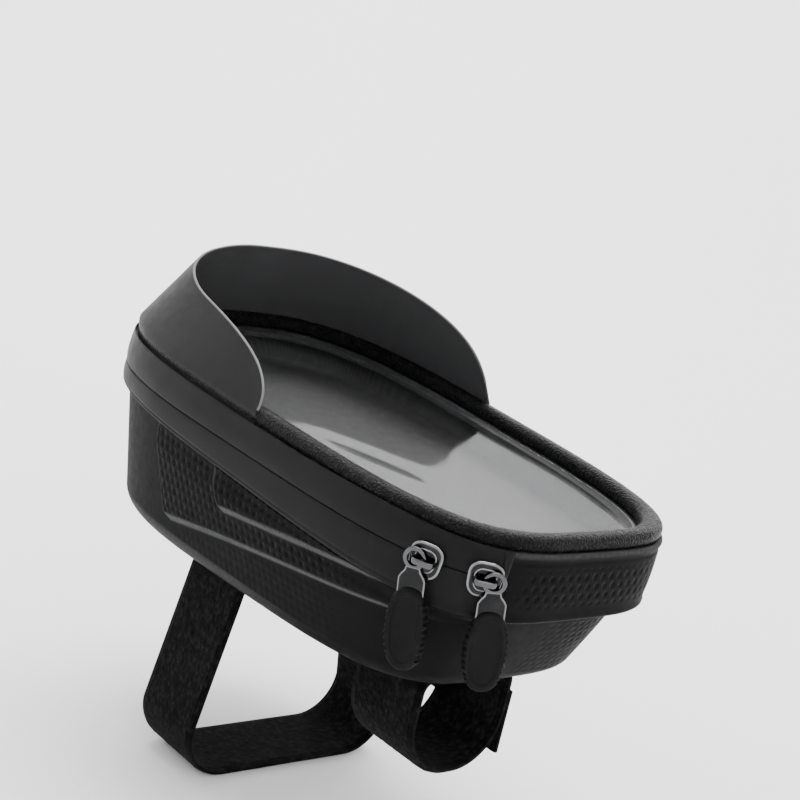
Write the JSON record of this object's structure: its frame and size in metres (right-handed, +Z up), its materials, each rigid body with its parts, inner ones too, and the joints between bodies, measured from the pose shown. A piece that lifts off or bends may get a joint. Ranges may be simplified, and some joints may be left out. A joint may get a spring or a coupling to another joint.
{
  "type": "bike phone bag",
  "caption": "Moulded top-tube bag for a bicycle with a zipped lid, clear phone window, folding sun visor and hook-and-loop straps.",
  "frame": {"origin": "middle of the bottom pad's underside, where the bag sits on the top tube", "axes": "+X to the rider's right, +Y forward to the handlebar, +Z up and out of the top tube"},
  "size_m": [0.1052, 0.1914, 0.1575],
  "materials": {
    "eva_shell": "embossed matt",
    "coated_band": "smooth coated",
    "lid_board": "matt",
    "grained_rim": "grained",
    "window_film": "clear gloss",
    "tray_lining": "matt",
    "visor_sheet": "satin",
    "zip_coil": "satin",
    "gunmetal": "plated",
    "black_rubber": "matt",
    "strap_pile": "looped pile"
  },
  "bodies": {
    "shell_body": {"shell": "eva_shell", "shell_zip_band": "coated_band", "shell_zip_teeth": "zip_coil", "rear_skirt": "eva_shell", "bottom_pad": "black_rubber", "front_strap": "strap_pile", "front_strap_end": "strap_pile", "rear_strap": "strap_pile", "rear_strap_end": "strap_pile"},
    "lid_body": {"lid_frame": "lid_board", "lid_zip_band": "coated_band", "lid_zip_teeth": "zip_coil", "rim_bead": "grained_rim", "window_film": "window_film", "sun_visor": "visor_sheet", "phone_tray": "tray_lining", "rear_hinge_panel": "eva_shell"},
    "front_slider": {"slider_front": "gunmetal"},
    "rear_slider": {"slider_rear": "gunmetal"},
    "front_pull": {"pull_plate_front": "gunmetal", "pull_grip_front": "black_rubber"},
    "rear_pull": {"pull_plate_rear": "gunmetal", "pull_grip_rear": "black_rubber"}
  },
  "joints": [
    {"name": "lid_hinge", "type": "hinge", "parent": "shell_body", "child": "lid_body", "pos_m": [0, -0.0933, 0.05028], "axis": [1, 0, 0], "range_deg": [0, 100]},
    {"name": "front_slider_run", "type": "slide", "parent": "shell_body", "child": "front_slider", "axis": [-0.4304, 0.9017, 0.0414], "range_m": [0, 0.012]},
    {"name": "rear_slider_run", "type": "slide", "parent": "shell_body", "child": "rear_slider", "axis": [-0.807, 0.5899, 0.0271], "range_m": [0, 0.003]},
    {"name": "front_pull_swing", "type": "hinge", "parent": "front_slider", "child": "front_pull", "pos_m": [-0.04655, -0.07408, 0.04685], "axis": [-0.9023, -0.4285, -0.0471], "range_deg": [-75, 10]},
    {"name": "rear_pull_swing", "type": "hinge", "parent": "rear_slider", "child": "rear_pull", "pos_m": [-0.03326, -0.09069, 0.04602], "axis": [-0.5897, -0.8027, -0.0883], "range_deg": [-10, 75]}
  ]
}
